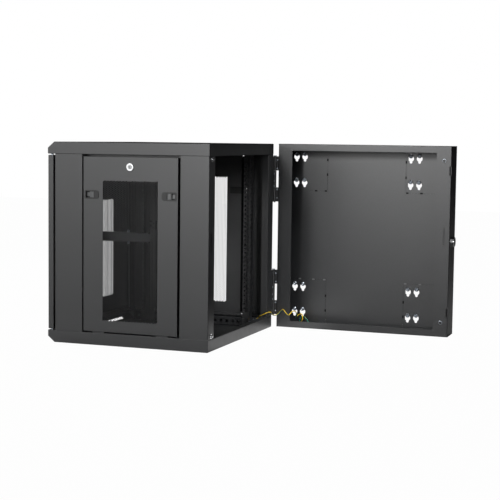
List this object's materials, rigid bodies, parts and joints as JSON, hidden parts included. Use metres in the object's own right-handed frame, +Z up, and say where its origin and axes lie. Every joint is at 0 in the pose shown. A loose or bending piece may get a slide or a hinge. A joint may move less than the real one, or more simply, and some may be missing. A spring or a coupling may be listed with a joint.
{
  "type": "wall mount network cabinet",
  "caption": "Wall mount network cabinet with a perforated front door, latched perforated side panels and a hinged wall frame with keyholes.",
  "frame": {"origin": "centre of the cabinet body's floor, on the surface it stands on", "axes": "+X towards the cabinet's right side as seen facing its door, -Y towards the door, +Y towards the open back, +Z up"},
  "size_m": [0.7108, 1.1736, 0.635],
  "materials": {
    "powder_coat": "satin",
    "rail": "satin",
    "plastic": "matte",
    "chrome": "polished",
    "zinc": "satin",
    "wire": "gloss"
  },
  "bodies": {
    "wall_frame": {"frame_back_plate": "powder_coat", "upper_hinge_corner_plate": "powder_coat", "lower_hinge_corner_plate": "powder_coat", "upper_lock_corner_plate": "powder_coat", "lower_lock_corner_plate": "powder_coat", "frame_top_channel": "powder_coat", "frame_bottom_channel": "powder_coat", "frame_hinge_channel": "powder_coat", "frame_lock_channel": "powder_coat", "upper_hinge_frame_leaf": "powder_coat", "lower_hinge_frame_leaf": "powder_coat", "upper_hinge_pin": "zinc", "lower_hinge_pin": "zinc", "frame_lock_barrel": "chrome", "frame_earth_stud": "zinc", "earth_wire": "wire"},
    "frame_lock": {"frame_lock_plug": "chrome", "frame_lock_cam": "zinc"},
    "cabinet": {"base_pan": "powder_coat", "top_cover": "powder_coat", "left_front_post": "powder_coat", "left_rear_post": "powder_coat", "left_lower_brace": "powder_coat", "left_mid_brace": "powder_coat", "left_upper_brace": "powder_coat", "left_front_rail": "rail", "left_rear_rail": "rail", "right_front_post": "powder_coat", "right_rear_post": "powder_coat", "right_lower_brace": "powder_coat", "right_mid_brace": "powder_coat", "right_upper_brace": "powder_coat", "right_front_rail": "rail", "right_rear_rail": "rail", "upper_hinge_cabinet_leaf": "powder_coat", "lower_hinge_cabinet_leaf": "powder_coat", "locating_pins": "zinc", "cabinet_earth_stud": "zinc"},
    "door": {"front_door": "powder_coat", "door_upper_pivot": "zinc", "door_lower_pivot": "zinc", "door_lock_barrel": "chrome"},
    "door_lock": {"door_lock_plug": "chrome", "door_lock_cam": "zinc"},
    "left_panel": {"left_side_panel": "powder_coat", "left_lock_barrel": "chrome", "left_front_latch_housing": "plastic", "left_rear_latch_housing": "plastic"},
    "left_lock": {"left_lock_plug": "chrome", "left_lock_cam": "zinc"},
    "left_front_latch": {"left_front_latch_slider": "plastic"},
    "left_rear_latch": {"left_rear_latch_slider": "plastic"},
    "right_panel": {"right_side_panel": "powder_coat", "right_lock_barrel": "chrome", "right_front_latch_housing": "plastic", "right_rear_latch_housing": "plastic"},
    "right_lock": {"right_lock_plug": "chrome", "right_lock_cam": "zinc"},
    "right_front_latch": {"right_front_latch_slider": "plastic"},
    "right_rear_latch": {"right_rear_latch_slider": "plastic"}
  },
  "joints": [
    {"name": "cabinet_swing", "type": "hinge", "parent": "wall_frame", "child": "cabinet", "pos_m": [-0.3115, 0.2755, 0.3175], "axis": [0, 0, 1], "range_deg": [-15, 90], "deforming": ["earth_wire"]},
    {"name": "frame_lock_turn", "type": "hinge", "parent": "wall_frame", "child": "frame_lock", "pos_m": [-0.361, 0.887, 0.316], "axis": [0, 1, 0], "range_deg": [0, 90]},
    {"name": "door_swing", "type": "hinge", "parent": "cabinet", "child": "door", "pos_m": [0.287, -0.264, 0.3175], "axis": [0, 0, 1], "range_deg": [0, 125]},
    {"name": "door_lock_turn", "type": "hinge", "parent": "door", "child": "door_lock", "pos_m": [-0.236, -0.273, 0.3175], "axis": [0, 1, 0], "range_deg": [0, 90]},
    {"name": "left_panel_slide", "type": "slide", "parent": "cabinet", "child": "left_panel", "axis": [-1, 0, 0], "range_m": [0, 0.15]},
    {"name": "left_lock_turn", "type": "hinge", "parent": "left_panel", "child": "left_lock", "pos_m": [-0.3, 0.0115, 0.56], "axis": [-1, 0, 0], "range_deg": [0, 90]},
    {"name": "left_front_latch_slide", "type": "slide", "parent": "left_panel", "child": "left_front_latch", "axis": [0, -1, 0], "range_m": [0, 0.012]},
    {"name": "left_rear_latch_slide", "type": "slide", "parent": "left_panel", "child": "left_rear_latch", "axis": [0, 1, 0], "range_m": [0, 0.012]},
    {"name": "right_panel_slide", "type": "slide", "parent": "cabinet", "child": "right_panel", "axis": [1, 0, 0], "range_m": [0, 0.15]},
    {"name": "right_lock_turn", "type": "hinge", "parent": "right_panel", "child": "right_lock", "pos_m": [0.3, 0.0115, 0.56], "axis": [-1, 0, 0], "range_deg": [0, 90]},
    {"name": "right_front_latch_slide", "type": "slide", "parent": "right_panel", "child": "right_front_latch", "axis": [0, -1, 0], "range_m": [0, 0.012]},
    {"name": "right_rear_latch_slide", "type": "slide", "parent": "right_panel", "child": "right_rear_latch", "axis": [0, 1, 0], "range_m": [0, 0.012]}
  ]
}
